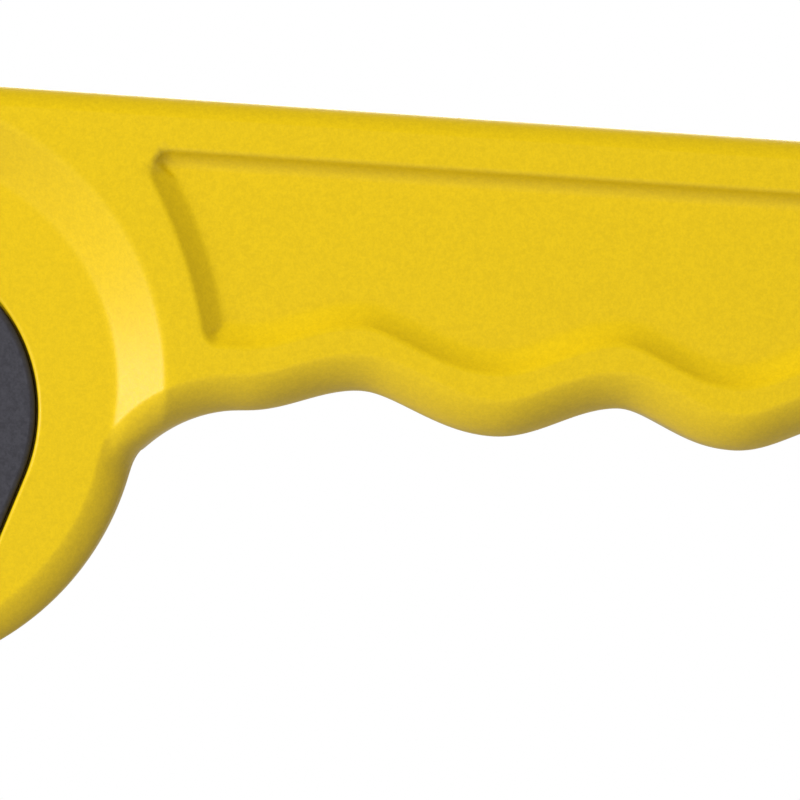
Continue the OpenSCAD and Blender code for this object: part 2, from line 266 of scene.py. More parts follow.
def corner_centre():
    """Centre of the rounding where the panel's front edge meets its top edge."""
    z = 20.0
    for _ in range(30):
        x = panel_front(z) + PANEL_CORNER * math.hypot(1, front_slant(z))
        z = top_z(x) - (PANEL_TOP + PANEL_CORNER) / math.cos(SLOPE)
    return x, z


def panel_distances(x, z):
    """Distances inside the panel's front, top and lower edges, negative outside."""
    d_front = (x - panel_front(z)) / np.hypot(1, front_slant(z))
    d_top = (top_z(x) - z) * math.cos(SLOPE) - PANEL_TOP
    h = 0.5
    slope = (grip_z(x + h) - grip_z(x - h)) / (2 * h)
    d_low = (z - grip_z(x) - PANEL_BOTTOM) / np.sqrt(1 + slope ** 2)
    return d_front, d_top, d_low


def panel_end():
    """Radius and height of the panel's round end."""
    radius = (GRIP + RIDGE - PANEL_TOP - PANEL_BOTTOM) / 2
    return radius, top_z(PANEL_END) - PANEL_TOP - radius


def panel_inset(x, z):
    """Distance inside the edge of the side panel, with its corners and end rounded."""
    d_front, d_top, d_low = panel_distances(x, z)
    u, v = np.maximum(PANEL_LOW_CORNER - d_low, 0), np.maximum(PANEL_LOW_CORNER - d_front, 0)
    low = np.where((u > 0) & (v > 0), PANEL_LOW_CORNER - np.hypot(u, v), np.minimum(d_low, d_front))
    end_r, end_z = panel_end()
    d_end = end_r - np.hypot(x - PANEL_END, z - end_z)
    d = np.minimum(np.minimum(d_top, low), np.where(x > PANEL_END, d_end, 99))
    cx, cz = CORNER_AT
    before_top = (x - cx) * math.cos(SLOPE) - (z - cz) * math.sin(SLOPE) < 0
    above_front = -(x - cx) * front_slant(cz) - (z - cz) < 0
    arc = PANEL_CORNER - np.hypot(x - cx, z - cz)
    return np.where(before_top & above_front, arc, d)


def panel_cut(x, z):
    """Depth of the side panel: its wall is steepest in front and runs out softly elsewhere."""
    d_front, d_top, d_low = panel_distances(x, z)
    frontal = np.clip(np.minimum(d_top, d_low) - d_front + 0.5, 0, 1)
    upper = np.clip(d_low - d_top, 0, 1) * (1 - frontal)
    u = panel_inset(x, z) / (PANEL_WALL - 0.2 * frontal - 0.7 * upper)
    power = 1.8 - 0.65 * frontal
    parts = [1 - (1 - np.clip(u + step, 0, 1)) ** power for step in (-0.1, -0.03, 0.03, 0.1)]
    return PANEL_DEPTH * sum(parts) / len(parts)


CORNER_AT = corner_centre()


def near_face(x, z):
    """Height of the near side above the parting plane."""
    reach = np.hypot(x - DISH_AT[0], z - DISH_AT[1])
    angle = np.degrees(np.arctan2(z - DISH_AT[1], x - DISH_AT[0]))
    # the wall of the dish ends at the arch, and the lobe below stays level with the dish
    walled = ease((angle + 21) / 9)
    dish = FACE - DISH_DEPTH * (1 - walled * ramp(reach, DISH_R, DISH_RIM_R, 0.35))
    return dish - panel_cut(x, z)


def far_face(x, z):
    return FACE - panel_cut(x, z)


# ---------------------------------------------------------------- mesh building
class Build:
    """Collects the vertices and faces of one piece, in millimetres from the blade axis."""

    def __init__(self):
        self.verts, self.faces, self.normals = [], [], {}

    def add(self, points, y):
        start = len(self.verts)
        ys = np.broadcast_to(y, len(points))
        self.verts += [(p[0], h, p[1]) for p, h in zip(points, ys)]
        return list(range(start, len(self.verts)))

    def plan(self, ids):
        """The x and z of some vertices."""
        return np.array([(self.verts[i][0], self.verts[i][2]) for i in ids])

    def shade(self, ids, normals):
        """Gives vertices their own shading normals."""
        for i, v in zip(ids, normals / np.linalg.norm(normals, axis=1)[:, None]):
            self.normals[i] = v

    def bridge(self, low, high, flip=False):
        """Side faces between two rings of the same length."""
        n = len(low)
        for i in range(n):
            quad = (low[i], low[(i + 1) % n], high[(i + 1) % n], high[i])
            self.faces.append(quad[::-1] if flip else quad)

    def cap(self, indices, holes=(), flip=False, extra=(), height=None):
        """Triangles over a closed ring, leaving its holes open."""
        rings = [indices, *holes]
        ids = [i for ring in rings for i in ring] + list(extra)
        plan = self.plan(ids)
        edges, start = [], 0
        for ring in rings:
            edges += [(start + i, start + (i + 1) % len(ring)) for i in range(len(ring))]
            start += len(ring)
        made = delaunay_2d_cdt([Vector(p) for p in plan], edges, [], 0, 1e-7)
        points, tris, origin = np.array([v[:] for v in made[0]]), np.array(made[2]), made[3]
        middle = points[tris].mean(1)
        keep = inside(middle, plan[: len(indices)])
        start = len(indices)
        for ring in holes:
            keep &= ~inside(middle, plan[start : start + len(ring)])
            start += len(ring)
        a, b, c = (points[tris[:, k]] for k in range(3))
        area = (b - a)[:, 0] * (c - a)[:, 1] - (b - a)[:, 1] * (c - a)[:, 0]
        keep &= np.abs(area) > 1e-3
        names = {v: ids[from_v[0]] for v, from_v in enumerate(origin) if from_v}
        for v in sorted(set(tris[keep].ravel()) - set(names)):
            y = height(points[v]) if height else self.verts[indices[0]][1]
            names[v] = self.add([points[v]], y)[0]
        for tri, turn in zip(tris[keep], area[keep]):
            face = [names[v] for v in tri]
            if (turn < 0) == flip:
                face.reverse()
            self.faces.append(tuple(face))

    def make(self, name, body, material, sharp=40, replaces=()):
        """Makes the piece and ties it to its body."""
        mesh = bpy.data.meshes.new(name)
        place = np.array(self.verts, float) + np.array([AXIS_X, 0, AXIS_Z])
        mesh.from_pydata((place * MM).tolist(), [], self.faces)
        mesh.validate()
        mesh.polygons.foreach_set("use_smooth", [True] * len(mesh.polygons))
        mesh.set_sharp_from_angle(angle=math.radians(sharp))
        if self.normals:
            loops = np.zeros((len(mesh.loops), 3))
            for polygon in mesh.polygons:
                ids = list(polygon.vertices)
                if all(i in self.normals for i in ids):
                    for k, i in zip(polygon.loop_indices, ids):
                        loops[k] = self.normals[i]
            mesh.normals_split_custom_set(loops.tolist())
        mesh.materials.append(material)
        piece = bpy.data.objects.new(name, mesh)
        bpy.context.scene.collection.objects.link(piece)
        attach(piece, body)
        if replaces:
            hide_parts(*replaces)
        return piece


def hex_points(outline, spacing):
    """Evenly spread points over the box round an outline."""
    low, high = outline.min(0), outline.max(0)
    rows = np.arange(low[1], high[1], spacing * 0.866)
    points = []
    for k, z in enumerate(rows):
        x = np.arange(low[0] + (k % 2) * spacing / 2, high[0], spacing)
        points.append(np.stack([x, np.full(len(x), z)], -1))
    return np.vstack(points)


def thinned(points, ready, gap):
    """Points that keep a gap from those already there."""
    tree = KDTree(len(ready))
    for i, p in enumerate(ready):
        tree.insert((p[0], p[1], 0), i)
    tree.balance()
    return np.array([p for p in points if tree.find((p[0], p[1], 0))[2] > gap])


def spread_points(outline, inner, holes, rows, spacing):
    """Points over a face: those of the rows, then an even spread, clear of its holes."""
    ready, extra = [inner, *holes], np.zeros((0, 2))
    for points, gap in [*[(r, ROW_GAP) for r in rows], (hex_points(outline, spacing), spacing * 0.6)]:
        points = points[inside(points, inner)]
        for hole in holes:
            points = points[~inside(points, hole)]
        if len(points):
            points = thinned(points, np.vstack(ready), gap)
        if len(points):
            ready.append(points)
            extra = np.vstack([extra, points])
    return extra


def face_normals(face, side, points):
    """Unit normals of a face of varying height."""
    h = 0.03
    x, z = points[:, 0], points[:, 1]
    dx = (face(x + h, z) - face(x - h, z)) / (2 * h)
    dz = (face(x, z + h) - face(x, z - h)) / (2 * h)
    n = np.stack([-dx, np.full(len(x), side), -dz], -1)
    return n / np.linalg.norm(n, axis=1)[:, None]


def edge_rings(build, outline, face, side, edge):
    """Rings that lead from the side wall over the rounded edge to the face."""
    inward = left_normals(outline)
    out = np.stack([-inward[:, 0], np.zeros(len(outline)), -inward[:, 1]], -1)
    width, drop = (np.broadcast_to(v, len(outline)) for v in edge)
    rings = []
    for k in range(EDGE_STEPS + 1):
        a = math.pi / 2 * k / EDGE_STEPS
        p = outline + inward * (width * (1 - math.cos(a) ** EDGE_BEND))[:, None]
        y = side * (face(p[:, 0], p[:, 1]) - drop * (1 - math.sin(a) ** EDGE_BEND))
        rings.append(build.add(p, y))
        s, c = max(math.sin(a), 1e-3), max(math.cos(a), 1e-3)
        tilt = np.stack([width * s * c ** (EDGE_BEND - 1), drop * c * s ** (EDGE_BEND - 1)], -1)
        tilt /= np.linalg.norm(tilt, axis=1)[:, None] + 1e-9
        build.shade(rings[-1], out * tilt[:, 1:] + face_normals(face, side, p) * tilt[:, :1])
    return rings


def mouth_rings(build, loop, bevel, face, side, steps=4):
    """Rings that lead from the face over a pit's rounded edge to its wall."""
    inward = left_normals(loop)
    towards = np.stack([inward[:, 0], np.zeros(len(loop)), inward[:, 1]], -1)
    rings = []
    for k in range(steps + 1):
        a = math.pi / 2 * k / steps
        p = loop - inward * (bevel * (1 - math.sin(a)))
        rings.append(build.add(p, side * (face(p[:, 0], p[:, 1]) - bevel * (1 - math.cos(a)))))
        build.shade(rings[-1], face_normals(face, side, p) * math.cos(a) + towards * math.sin(a))
    return rings


def moulded(build, outline, face, side, back, edge, pits=(), rows=(), spacing=0.8, seam=0.0):
    """One moulded plate: a face of varying height, rounded edges, a side wall and a flat back.

    edge is (width, drop) of the rounding, each one number or one for every outline point. A pit
    is (outline, bevel, floor): floor None makes a hole right through. rows are extra points that
    follow features. seam is the width of a small chamfer round the flat back.
    """
    flip = side < 0
    rings = [build.add(outline, back + side * seam)]
    if seam:
        rings.insert(0, build.add(outline + left_normals(outline) * seam, back))
    rings += edge_rings(build, outline, face, side, edge)
    for low, high in zip(rings, rings[1:]):
        build.bridge(low, high, flip=not flip)

    mouths, through = [], []
    for loop, bevel, floor in pits:
        down = mouth_rings(build, loop, bevel, face, side)
        foot = build.add(loop, back if floor is None else side * floor)
        for low, high in zip(down, down[1:] + [foot]):
            build.bridge(low, high, flip=not flip)
        mouths.append(down[0])
        if floor is None:
            through.append(foot)
        else:
            build.cap(foot, flip=flip)
    build.cap(rings[0], holes=through, flip=not flip)

    holes = [build.plan(mouth) for mouth in mouths]
    extra = spread_points(outline, build.plan(rings[-1]), holes, rows, spacing)
    ids = build.add(extra, side * face(extra[:, 0], extra[:, 1])) if len(extra) else []
    if ids:
        build.shade(ids, face_normals(face, side, extra))
    build.cap(
        rings[-1], holes=mouths, flip=flip, extra=ids,
        height=lambda p: side * float(face(p[0], p[1])),
    )


def turned(build, rings, at=(0, 0), n=128, closed=False):
    """Rings round an axis along y, each (radius, y); a radius may be a function of angle.

    A closed run joins its last ring to its first, as in a washer; an open one is capped.
    """
    angles = np.linspace(0, 2 * np.pi, n, endpoint=False)
    made = []
    for radius, y in rings:
        r = radius(angles) if callable(radius) else np.full(n, float(radius))
        points = np.stack([r * np.cos(angles), r * np.sin(angles)], -1) + np.array(at)
        made.append(build.add(points, y))
    pairs = list(zip(made, made[1:]))
    if closed:
        pairs.append((made[-1], made[0]))
    for low, high in pairs:
        build.bridge(low, high, flip=True)
    if not closed:
        build.faces.append(tuple(made[0]))
        build.faces.append(tuple(reversed(made[-1])))


def rounded(profile, radius, steps=4):
    """A closed (radius, y) profile with its corners rounded."""
    p = [np.array(q, float) for q in profile]
    out = []
    for i, q in enumerate(p):
        before, after = p[i - 1] - q, p[(i + 1) % len(p)] - q
        la, lb = np.linalg.norm(before), np.linalg.norm(after)
        reach = min(radius, la * 0.45, lb * 0.45)
        a, b = q + before / la * reach, q + after / lb * reach
        for k in range(steps + 1):
            t = k / steps
            out.append(tuple((1 - t) ** 2 * a + 2 * t * (1 - t) * q + t * t * b))
    return out


# ---------------------------------------------------------------- materials
GRAIN = 5400             # noise scale per metre of the plastics' texture
GRAIN_DEPTH = 0.00002    # in metres, as Blender takes it


def new_material(name, base, rough, metallic=0.0, specular=0.5):
    m = bpy.data.materials.new(name)
    m.use_nodes = True
    shader = m.node_tree.nodes["Principled BSDF"]
    shader.inputs["Base Color"].default_value = (*base, 1)
    shader.inputs["Roughness"].default_value = rough
    shader.inputs["Metallic"].default_value = metallic
    shader.inputs["Specular IOR Level"].default_value = specular
    return m, m.node_tree, shader


def noise(tree, scale, detail=3, rough=0.6):
    coords = tree.nodes.new("ShaderNodeTexCoord")
    n = tree.nodes.new("ShaderNodeTexNoise")
    n.inputs["Scale"].default_value = scale
    n.inputs["Detail"].default_value = detail
    n.inputs["Roughness"].default_value = rough
    tree.links.new(coords.outputs["Object"], n.inputs["Vector"])
    return n


def colour_mix(tree, factor, low, high):
    mix = tree.nodes.new("ShaderNodeMix")
    mix.data_type = "RGBA"
    mix.inputs["A"].default_value = (*low, 1)
    mix.inputs["B"].default_value = (*high, 1)
    tree.links.new(factor, mix.inputs["Factor"])
    return mix.outputs["Result"]


def spread(tree, value, low, high, out_low=0.0, out_high=1.0):
    """Maps a value from one range to another."""
    m = tree.nodes.new("ShaderNodeMapRange")
    m.inputs["From Min"].default_value = low
    m.inputs["From Max"].default_value = high
    m.inputs["To Min"].default_value = out_low
    m.inputs["To Max"].default_value = out_high
    tree.links.new(value, m.inputs["Value"])
    return m.outputs["Result"]


def bump(tree, shader, height, strength, distance):
    b = tree.nodes.new("ShaderNodeBump")
    b.inputs["Strength"].default_value = strength
    b.inputs["Distance"].default_value = distance
    tree.links.new(height, b.inputs["Height"])
    tree.links.new(b.outputs["Normal"], shader.inputs["Normal"])


def moulded_plastic(name, base, shade, rough, specular=0.5):
    """Moulded plastic with the fine eroded texture of its tool and a faint mottle."""
    m, tree, shader = new_material(name, base, rough, specular=specular)
    fine = noise(tree, GRAIN, 2)
    broad = noise(tree, GRAIN / 2.5, 3)
    mixed = tree.nodes.new("ShaderNodeMath")
    mixed.operation = "ADD"
    tree.links.new(fine.outputs["Fac"], mixed.inputs[0])
    tree.links.new(broad.outputs["Fac"], mixed.inputs[1])
    colour = colour_mix(tree, spread(tree, mixed.outputs[0], 0.78, 1.22), shade, base)
    tree.links.new(colour, shader.inputs["Base Color"])
    rough_map = spread(tree, fine.outputs["Fac"], 0.3, 0.7, rough * 0.88, rough * 1.12)
    tree.links.new(rough_map, shader.inputs["Roughness"])
    bump(tree, shader, fine.outputs["Fac"], 0.5, GRAIN_DEPTH)
    return m


def turned_metal(name, base, rough, rings=9000):
    """Metal with fine marks running round the blade axis."""
    m, tree, shader = new_material(name, base, rough, metallic=1.0)
    coords = tree.nodes.new("ShaderNodeTexCoord")
    apart = tree.nodes.new("ShaderNodeVectorMath")
    apart.operation = "MULTIPLY_ADD"
    apart.inputs[1].default_value = (1, 0, 1)
    apart.inputs[2].default_value = (-AXIS_X * MM, 0, -AXIS_Z * MM)
    tree.links.new(coords.outputs["Object"], apart.inputs[0])
    reach = tree.nodes.new("ShaderNodeVectorMath")
    reach.operation = "LENGTH"
    tree.links.new(apart.outputs["Vector"], reach.inputs[0])
    n = tree.nodes.new("ShaderNodeTexNoise")
    n.noise_dimensions = "1D"
    n.inputs["Scale"].default_value = rings
    n.inputs["Detail"].default_value = 4
    tree.links.new(reach.outputs["Value"], n.inputs["W"])
    smear = noise(tree, 260, 3)
    dim = [c * 0.88 for c in base]
    colour = colour_mix(tree, spread(tree, smear.outputs["Fac"], 0.3, 0.7), dim, base)
    tree.links.new(colour, shader.inputs["Base Color"])
    rough_map = spread(tree, n.outputs["Fac"], 0.3, 0.7, rough * 0.75, rough * 1.3)
    tree.links.new(rough_map, shader.inputs["Roughness"])
    bump(tree, shader, n.outputs["Fac"], 0.25, 0.000006)
    return m


YELLOW = moulded_plastic("yellow_plastic", (0.630, 0.431, 0.0016), (0.560, 0.380, 0.0011), 0.4, 0.42)
DARK = moulded_plastic("dark_plastic", (0.0465, 0.0455, 0.0545), (0.0320, 0.0310, 0.0375), 0.55, 0.3)
GUARD_BLACK = moulded_plastic("guard_plastic", (0.026, 0.026, 0.028), (0.020, 0.020, 0.022), 0.48)
STEEL = turned_metal("zinc_steel", (0.62, 0.63, 0.65), 0.32)
BLADE_STEEL = turned_metal("blade_steel", (0.70, 0.71, 0.73), 0.2, rings=6000)
NICKEL = turned_metal("nickel", (0.68, 0.67, 0.64), 0.18)
SPRING = turned_metal("spring_steel", (0.28, 0.28, 0.30), 0.35)
BRASS = turned_metal("brass", (0.60, 0.42, 0.16), 0.28)


# ---------------------------------------------------------------- the two halves of the handle
def edge_sizes(outline, head_edge):
    """Width and drop of the edge rounding along an outline, softly changing between stretches."""
    up = -left_normals(outline)[:, 1]
    x, z = outline[:, 0], outline[:, 1]
    on_head = (np.hypot(x, z) < HEAD_R + 0.6) & (x < 24.6)
    angle = np.degrees(np.arctan2(z, x)) % 360
    low_part = (angle > LOBE[1] + 6) & (angle < 350)
    reach = 14
    kernel = np.ones(reach + 1) / (reach + 1)
    sizes = []
    for top, lobe, low in zip(TOP_EDGE, LOBE_EDGE, LOW_EDGE):
        size = np.where(up > 0.3, top, np.where(on_head & low_part, lobe, low))
        size = np.where(on_head & ~low_part, head_edge, size)
        for _ in range(2):
            wrapped = np.concatenate([size[-reach:], size, size[:reach]])
            size = np.convolve(wrapped, kernel, "same")[reach:-reach]
        sizes.append(size)
    return sizes


def fitted(outline, width, drop):
    """Narrows the rounding where a full-width one would cross itself, as in a tight corner."""
    tree = KDTree(len(outline))
    for i, p in enumerate(outline):
        tree.insert((p[0], p[1], 0), i)
    tree.balance()
    inward = left_normals(outline)
    share = np.ones(len(outline))
    for i, (p, n) in enumerate(zip(outline, inward)):
        while share[i] > 0.05:
            q = p + n * width[i] * share[i]
            if tree.find((q[0], q[1], 0))[2] > 0.96 * width[i] * share[i]:
                break
            share[i] *= 0.85
    for _ in range(3):
        share = np.minimum(share, np.minimum(np.roll(share, 1), np.roll(share, -1)) + 0.08)
    return width * share, drop * np.maximum(share, 0.25)


def offset_rows(outline, distances):
    inward = left_normals(outline)
    return [outline + inward * d for d in distances]


def panel_outline():
    """Edge of the side panel, walked round."""
    top_x = np.arange(PANEL_END, 28, -0.3)
    top = np.stack([top_x, top_z(top_x) - PANEL_TOP], -1)
    z = np.arange(top[-1][1] - 2.4, 4.2, -0.3)
    front = np.stack([panel_front(z), z], -1)
    low_x = np.arange(31.6, PANEL_END, 0.3)
    low = np.stack([low_x, grip_z(low_x) + PANEL_BOTTOM], -1)
    end_r, end_z = panel_end()
    end = np.array([PANEL_END, end_z]) + polar(end_r, np.arange(-88, 88, 3))
    return resample(np.vstack([top, front, low, end]), 0.35, 0.4)


def plate_outline(grow=0.0):
    """The keyed plate: a disc drawn out to a rounded tip."""
    way = TIP_AT - PLATE_AT
    side = math.degrees(math.acos((PLATE_R - TIP_R) / np.linalg.norm(way)))
    axis = math.degrees(math.atan2(way[1], way[0]))
    big = PLATE_AT + polar(PLATE_R + grow, np.arange(axis + side, axis + 360 - side, 1.5))
    tip = TIP_AT + polar(TIP_R + grow, np.arange(axis - side, axis + side, 3))
    return resample(np.vstack([big, tip]), 0.3)


PANEL_ROWS = offset_rows(panel_outline(), PANEL_INSETS)


def near_half():
    outline = handle_outline()
    dish_rows = [circle(r, DISH_AT, int(r * 16)) for r in DISH_ROWS]
    build = Build()
    moulded(
        build, outline, near_face, -1, -PARTING,
        fitted(outline, *edge_sizes(outline, NEAR_HEAD_EDGE)),
        pits=[(plate_outline(0.28), 0.4, POCKET), (circle(EYELET_SEAT_R, HANG), 0.25, None)],
        rows=[*PANEL_ROWS, *dish_rows], seam=SEAM,
    )
    return build.make("near_shell_skin", "handle", YELLOW, replaces=["near_shell"])


def far_grip(build):
    """The thick part of the far half, hollowed round the guard and its travel."""
    seat_r = GUARD_R + 1
    shift = polar(TRAVEL + 0.4, TRAVEL_DIR)
    low_arc = polar(seat_r, np.arange(ARCH_MEETS - 360, TRAVEL_DIR - 90, 1.0))
    high_arc = shift + polar(seat_r, np.arange(TRAVEL_DIR - 90, 90, 0.5))
    high_arc = high_arc[high_arc[:, 1] < top_z(high_arc[:, 0])]
    seat = np.vstack([low_arc, high_arc])
    outline = resample(np.vstack([*grip_edge(), seat[::-1]]), 0.3, 0.6)
    x, z = outline[:, 0], outline[:, 1]
    from_seat = np.minimum(np.hypot(x, z), np.hypot(x - shift[0], z - shift[1])) - seat_r
    on_seat = (np.abs(from_seat) < 0.4) & (z < top_z(x) - 0.5)
    width, drop = (np.where(on_seat, SEAT_EDGE, v) for v in edge_sizes(outline, SEAT_EDGE))
    screw_pits = [(circle(SCREW_SEAT_R, c, 64), 0.25, SCREW_SEAT) for c in screw_centres()]
    moulded(
        build, outline, far_face, 1, PARTING, fitted(outline, width, drop),
        pits=[(circle(EYELET_SEAT_R, HANG), 0.25, None), *screw_pits],
        rows=PANEL_ROWS, seam=SEAM,
    )


def far_head(build):
    """The thin part of the far half, which the blade and the guard lie against."""
    arch = grip_edge()[0]
    hidden = [[27, 0], [27, 20], [18, top_z(18) - 1.5]]
    outline = np.vstack([head_curve(), arch[arch[:, 0] < 27], hidden])
    moulded(
        build, resample(outline, OUTLINE_STEP, OUTLINE_SOFT), flat(HEAD_FACE), 1, PARTING,
        (FAR_HEAD_EDGE, FAR_HEAD_EDGE), spacing=3, seam=SEAM,
    )


def far_half():
    build = Build()
    far_grip(build)
    far_head(build)
    return build.make("far_shell_skin", "handle", YELLOW, replaces=["far_shell"])


def screw_centres():
    """Centres of the four shell screws, from the CAD node's separate solids."""
    co = np.array([v.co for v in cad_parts["shell_screws"].data.vertices]) / MM
    x = co[:, 0] - AXIS_X
    order = np.argsort(x)
    groups = np.split(order, np.where(np.diff(x[order]) > 5)[0] + 1)
    centres = []
    for g in groups:
        low, high = co[g].min(0), co[g].max(0)
        centres.append(np.array([(low[0] + high[0]) / 2 - AXIS_X, (low[2] + high[2]) / 2 - AXIS_Z]))
    return centres


# ---------------------------------------------------------------- fixed pieces on the head
def axle_plate():
    """Keyed plate, nearly flush with the dish, with a round seat for the bolt's head."""
    build = Build()
    moulded(
        build, plate_outline(), flat(PLATE_FACE), -1, POCKET, (0.5, 0.45),
        pits=[(circle(5.15, n=72), 0.3, PLATE_FACE - 1.4)], spacing=1.5,
    )
    return build.make("axle_plate_moulding", "handle", DARK, replaces=["axle_plate"])


def axle_bolt():
    """Domed head in the plate, and a threaded end that shows in the middle of the knob."""
    build = Build()
    low, end = node_mm("axle_bolt")[0][1], node_mm("axle_bolt")[1][1]
    head_r, dome, under = 5.0, 0.75, low + 1.3
    pitch, crest, root = 0.8, 2.5, 2.12
    rise = np.linspace(0.04, 1.5, 14)
    rings = [(head_r * math.sin(t), low + dome - dome * math.cos(t)) for t in rise]
    turned(build, [*rings, (head_r, under), (crest, under), (crest, HEAD_FACE)])
    clip_y = node_mm("retaining_clip")[0][1]
    rings = [(crest, HEAD_FACE - 0.5)]
    for k in range(int((clip_y - 0.2 - KNOB_Y[0]) / pitch)):
        y = KNOB_Y[0] + k * pitch
        rings += [(crest, y), (crest, y + 0.1), (root, y + 0.4), (crest, y + 0.7)]
    rings += [(crest, clip_y - 0.02), (2.0, clip_y), (2.0, clip_y + 0.55), (crest, clip_y + 0.57)]
    rings += [(crest, end - 0.25), (crest - 0.3, end), (0.8, end), (0.3, end - 0.3)]
    turned(build, rings, n=64)
    return build.make("axle_bolt_turned", "handle", STEEL, 30, replaces=["axle_bolt"])


def washer(node, radius, hole, edge=0.12):
    """Flat ring with rounded edges in the place of a CAD washer."""
    build = Build()
    low, high = node_mm(node)[0][1], node_mm(node)[1][1]
    profile = rounded([(hole, low), (radius, low), (radius, high), (hole, high)], edge)
    turned(build, profile, closed=True)
    return build.make(node + "_turned", "handle", STEEL, 50, replaces=[node])


def spring_washer():
    """Conical spring washer under the knob."""
    build = Build()
    low, high = node_mm("spring_washer")[0][1], node_mm("spring_washer")[1][1]
    outer, inner, t = 6.5, 2.7, 0.45
    profile = rounded([(inner, high - t), (outer, low), (outer, low + t), (inner, high)], 0.1)
    turned(build, profile, closed=True)
    return build.make("spring_washer_turned", "handle", SPRING, replaces=["spring_washer"])


def retaining_clip():
    """Open spring clip in the groove at the bolt's end."""
    build = Build()
    low, high = node_mm("retaining_clip")[0][1], node_mm("retaining_clip")[1][1]
    outer, inner, gap = 3.95, 2.1, 24
    arc = np.arange(90 + gap, 450 - gap, 6)
    outline = resample(np.vstack([polar(outer, arc), polar(inner, arc)[::-1]]), 0.25, 0.1)
    moulded(build, outline, flat(high), 1, low, (0.1, 0.1), spacing=1)
    name = "retaining_clip_bent"
    return build.make(name, "handle", SPRING, replaces=["retaining_clip"])


def hang_eyelet():
    """Rolled eyelet: its flanges lie flush in both faces of the handle."""
    build = Build()
    low, high = node_mm("hang_eyelet")[0][1], node_mm("hang_eyelet")[1][1]
    bore, barrel, rim, t, roll = 3.5, 4.2, 6.1, 0.6, 0.5
    profile = [
        (bore + roll, low), (rim, low + 0.05), (rim, low + t), (barrel, low + t),
        (barrel, high - t), (rim, high - t), (rim, high - 0.05), (bore + roll, high),
        (bore, high - roll), (bore, low + roll),
    ]
    turned(build, rounded(profile, 0.4, steps=6), HANG, closed=True)
    return build.make("hang_eyelet_rolled", "handle", NICKEL, replaces=["hang_eyelet"])


def cross_radius(arm, half_width, share=1.0):
    """Radius of a rounded cross, as a function of angle."""
    def radius(a):
        c, s = np.abs(np.cos(a + np.pi / 4)), np.abs(np.sin(a + np.pi / 4))
        along, across = np.maximum(c, s), np.minimum(c, s)
        side = half_width / np.maximum(across, half_width / arm)
        return share * np.minimum(arm / along, side)

    return radius


def shell_screws():
    """Pan heads with a cross recess, down in their counterbores."""
    build = Build()
    low, top = SCREW_SEAT, SCREW_SEAT + 1.8
    arm, half = 1.55, 0.32
    rings = [(2.8, low), (2.8, top - 0.9), (2.72, top - 0.55), (2.45, top - 0.25), (2.1, top - 0.08)]
    rings += [(cross_radius(arm, half, 1.06), top), (cross_radius(arm, half), top - 0.06)]
    rings += [(cross_radius(arm, half, 0.8), top - 0.75), (0.1, top - 1.2)]
    for at in screw_centres():
        turned(build, rings, at, n=96)
    return build.make("shell_screws_turned", "handle", STEEL, 35, replaces=["shell_screws"])


# ---------------------------------------------------------------- blade
def blade():
    """Round blade, ground to an edge from both sides."""
    build = Build()
    low, high = blade_low[1], blade_high[1]
    mid, bore, edge = (low + high) / 2, 4.02, 0.03
    heel = BLADE_R - 1.4
    profile = [
        (bore, low), (heel, low), (BLADE_R, mid - edge / 2),
        (BLADE_R, mid + edge / 2), (heel, high), (bore, high),
    ]
    turned(build, profile, n=256, closed=True)
    return build.make("blade_ground", "blade", BLADE_STEEL, 3, replaces=["blade"])


# ---------------------------------------------------------------- guard
RIVET_R = 2


def guard_outline():
    """The guard's disc with the arm that carries the thumb tab."""
    arm = [node_mm("thumb_tab")[0][0] - AXIS_X, node_mm("thumb_tab")[1][0] - AXIS_X]
    top = node_mm("guard")[1][2] - AXIS_Z
    foot = [math.degrees(math.acos(x / GUARD_R)) for x in (arm[1], arm[0])]
    disc = polar(GUARD_R, np.arange(foot[1], 360 + foot[0], 1.5))
    tab = np.array([[arm[1], top], [arm[0], top]])
    return resample(np.vstack([disc, tab]), 0.35, 0.35)


def guard_slot():
    """Outline of the slot that rides on the guide block."""
    half, end = 7.1 / 2, 4.1
    a = math.radians(TRAVEL_DIR)
    along, across = np.array([math.cos(a), math.sin(a)]), np.array([-math.sin(a), math.cos(a)])
    corners = [(-end - TRAVEL, -half), (end, -half), (end, half), (-end - TRAVEL, half)]
    return resample(np.array([along * u + across * v for u, v in corners]), 0.3)


def guard():
    """Flat guard with a raised rim and a shallow dish round the clamp."""
    low, high = GUARD_Y
    step, rim, hub_r = 0.35, 2.2, 12.4

    def face(x, z):
        r = np.hypot(x, z)
        edge = ramp(r, GUARD_R - rim - 0.5, GUARD_R - rim, 0.12)
        hub = 1 - ramp(r, hub_r, hub_r + 0.5, 0.12)
        return high - step * (1 - np.maximum(edge, hub))

    # rows of points along both steps of the face
    hub_rows, rim_rows = (12.2, 12.4, 12.65, 12.9, 13.1), (20.3, 20.6, 20.85, 21.1, 21.35)
    rows = [circle(r, n=int(r * 12)) for r in hub_rows + rim_rows]
    build = Build()
    moulded(
        build, guard_outline(), face, 1, low, (0.45, 0.45),
        pits=[(guard_slot(), 0.15, None)], rows=rows, spacing=1.6,
    )
    return build.make("guard_plate", "guard", GUARD_BLACK, replaces=["guard"])


